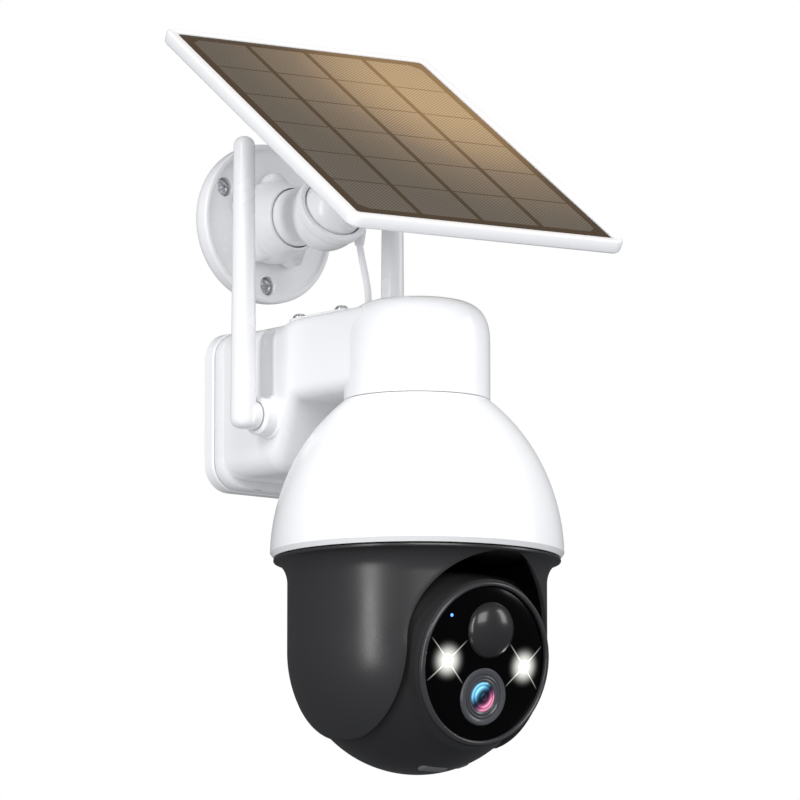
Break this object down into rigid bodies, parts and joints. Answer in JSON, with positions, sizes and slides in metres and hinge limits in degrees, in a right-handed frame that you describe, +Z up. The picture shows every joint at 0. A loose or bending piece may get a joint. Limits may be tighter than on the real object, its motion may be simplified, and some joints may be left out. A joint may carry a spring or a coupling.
{
  "type": "solar security camera",
  "caption": "Wall-mounted pan and tilt security camera with a white dome body, dark swivelling head, twin antennas and a ball-jointed solar panel joined by a white lead.",
  "frame": {"origin": "centre of the camera's wall plate, on its back face against the wall", "axes": "+Z up, +Y into the wall, so the camera looks along -Y; +X is the camera's left-hand side as it looks out, the right as seen from in front"},
  "size_m": [0.1389, 0.1664, 0.2935],
  "materials": {
    "white_abs": "smooth, lightly glossy white moulding",
    "dark_abs": "satin dark grey moulding",
    "soft_white": "soft white cable sleeve",
    "soft_rubber": "soft dark rubber",
    "window": "polished black window",
    "sensor_lens": "satin milky black polyethylene lens",
    "lens_glass": "coated optical glass",
    "led": "clear light cover",
    "chrome": "bright plated steel",
    "steel": "plain steel",
    "nylon": "natural nylon",
    "board": "solder-masked circuit board",
    "cell_wrap": "shrink-wrapped battery cell",
    "laminate": "dark cells under a clear encapsulant"
  },
  "bodies": {
    "mount": {"wall_plate": "white_abs", "bracket_housing": "white_abs", "latch_tab": "dark_abs", "main_board": "board", "cover_screw_1": "chrome", "cover_screw_2": "chrome", "cover_screw_3": "chrome", "cover_screw_4": "chrome", "arm_cover": "white_abs", "dome_shell": "white_abs", "base_ring": "dark_abs", "pan_motor": "steel", "battery_cradle": "dark_abs", "battery_cell_1": "cell_wrap", "battery_cell_2": "cell_wrap", "battery_cell_3": "cell_wrap", "base_screw_1": "chrome", "base_screw_2": "chrome", "base_screw_3": "chrome", "solar_base": "white_abs", "plug": "soft_white", "lead": "soft_white", "charge_socket": "soft_rubber"},
    "pan_drive": {"pan_pinion": "nylon"},
    "pan_unit": {"pan_housing": "dark_abs", "pan_gear": "nylon", "hub_retainer": "steel", "trunnion_left": "steel", "trunnion_right": "steel", "tilt_gear": "nylon"},
    "head": {"head_front": "dark_abs", "head_rear": "dark_abs", "face_bezel": "dark_abs", "face_window": "window", "motion_lens": "sensor_lens", "motion_sensor": "steel", "lens_ring": "dark_abs", "lens_barrel": "dark_abs", "lens_glass": "lens_glass", "sensor_board": "board", "spotlight_left": "led", "spotlight_right": "led", "status_light": "led", "speaker": "dark_abs", "tilt_motor": "steel"},
    "tilt_drive": {"tilt_pinion": "nylon"},
    "flap": {"card_flap": "soft_rubber"},
    "button": {"power_button": "soft_rubber"},
    "antenna_left_body": {"antenna_left": "white_abs"},
    "antenna_right_body": {"antenna_right": "white_abs"},
    "nut": {"lock_nut": "white_abs"},
    "elbow": {"elbow_arm": "white_abs", "lead_gland": "soft_white"},
    "ball": {"ball_stem": "white_abs"},
    "panel": {"panel_foot": "white_abs", "panel_frame": "white_abs", "panel_laminate": "laminate"}
  },
  "joints": [
    {"name": "camera_pan", "type": "hinge", "parent": "mount", "child": "pan_unit", "pos_m": [0, -0.1, -0.0995], "axis": [0, 0, 1], "range_deg": [-170, 170]},
    {"name": "camera_tilt", "type": "hinge", "parent": "pan_unit", "child": "head", "pos_m": [0, -0.1, -0.0995], "axis": [1, 0, 0], "range_deg": [-10, 75]},
    {"name": "pan_pinion_spin", "type": "hinge", "parent": "mount", "child": "pan_drive", "pos_m": [0, -0.07095, -0.059], "axis": [0, 0, 1], "range_deg": [-855, 855]},
    {"name": "tilt_pinion_spin", "type": "hinge", "parent": "head", "child": "tilt_drive", "pos_m": [0, -0.10308, -0.08273], "axis": [1, 0, 0], "range_deg": [-35, 230]},
    {"name": "left_antenna_swing", "type": "hinge", "parent": "mount", "child": "antenna_left_body", "pos_m": [-0.0365, -0.0406, -0.0067], "axis": [-1, 0, 0], "range_deg": [-13, 10]},
    {"name": "right_antenna_swing", "type": "hinge", "parent": "mount", "child": "antenna_right_body", "pos_m": [0.0365, -0.0406, -0.0067], "axis": [-1, 0, 0], "range_deg": [-13, 10]},
    {"name": "lock_nut_turn", "type": "hinge", "parent": "mount", "child": "nut", "pos_m": [0, -0.017, 0.0752], "axis": [0, -1, 0], "range_deg": [-90, 0]},
    {"name": "elbow_swivel", "type": "hinge", "parent": "mount", "child": "elbow", "pos_m": [0, -0.03, 0.0752], "axis": [0, 1, 0], "range_deg": [-10, 30], "deforming": ["lead"]},
    {"name": "panel_tilt", "type": "hinge", "parent": "elbow", "child": "ball", "pos_m": [0.00014, -0.0481, 0.07479], "axis": [0.9877, -0.1564, 0], "range_deg": [-15, 15]},
    {"name": "panel_turn", "type": "hinge", "parent": "ball", "child": "panel", "pos_m": [0.00014, -0.0481, 0.07479], "axis": [-0.0857, -0.5408, 0.8368], "range_deg": [-30, 30]},
    {"name": "card_flap_hinge", "type": "hinge", "parent": "head", "child": "flap", "pos_m": [-0.0078, -0.11082, -0.14421], "axis": [0, -0.972, 0.2351], "range_deg": [-80, 0]},
    {"name": "power_button_press", "type": "slide", "parent": "head", "child": "button", "axis": [0, 0.2351, 0.972], "range_m": [0, 0.0008], "stiffness_N_per_m": 200, "springref_m": -0.0005}
  ],
  "couplings": [
    {"joint": "pan_pinion_spin", "follows": "camera_pan", "ratio": -5},
    {"joint": "tilt_pinion_spin", "follows": "camera_tilt", "ratio": 3}
  ]
}
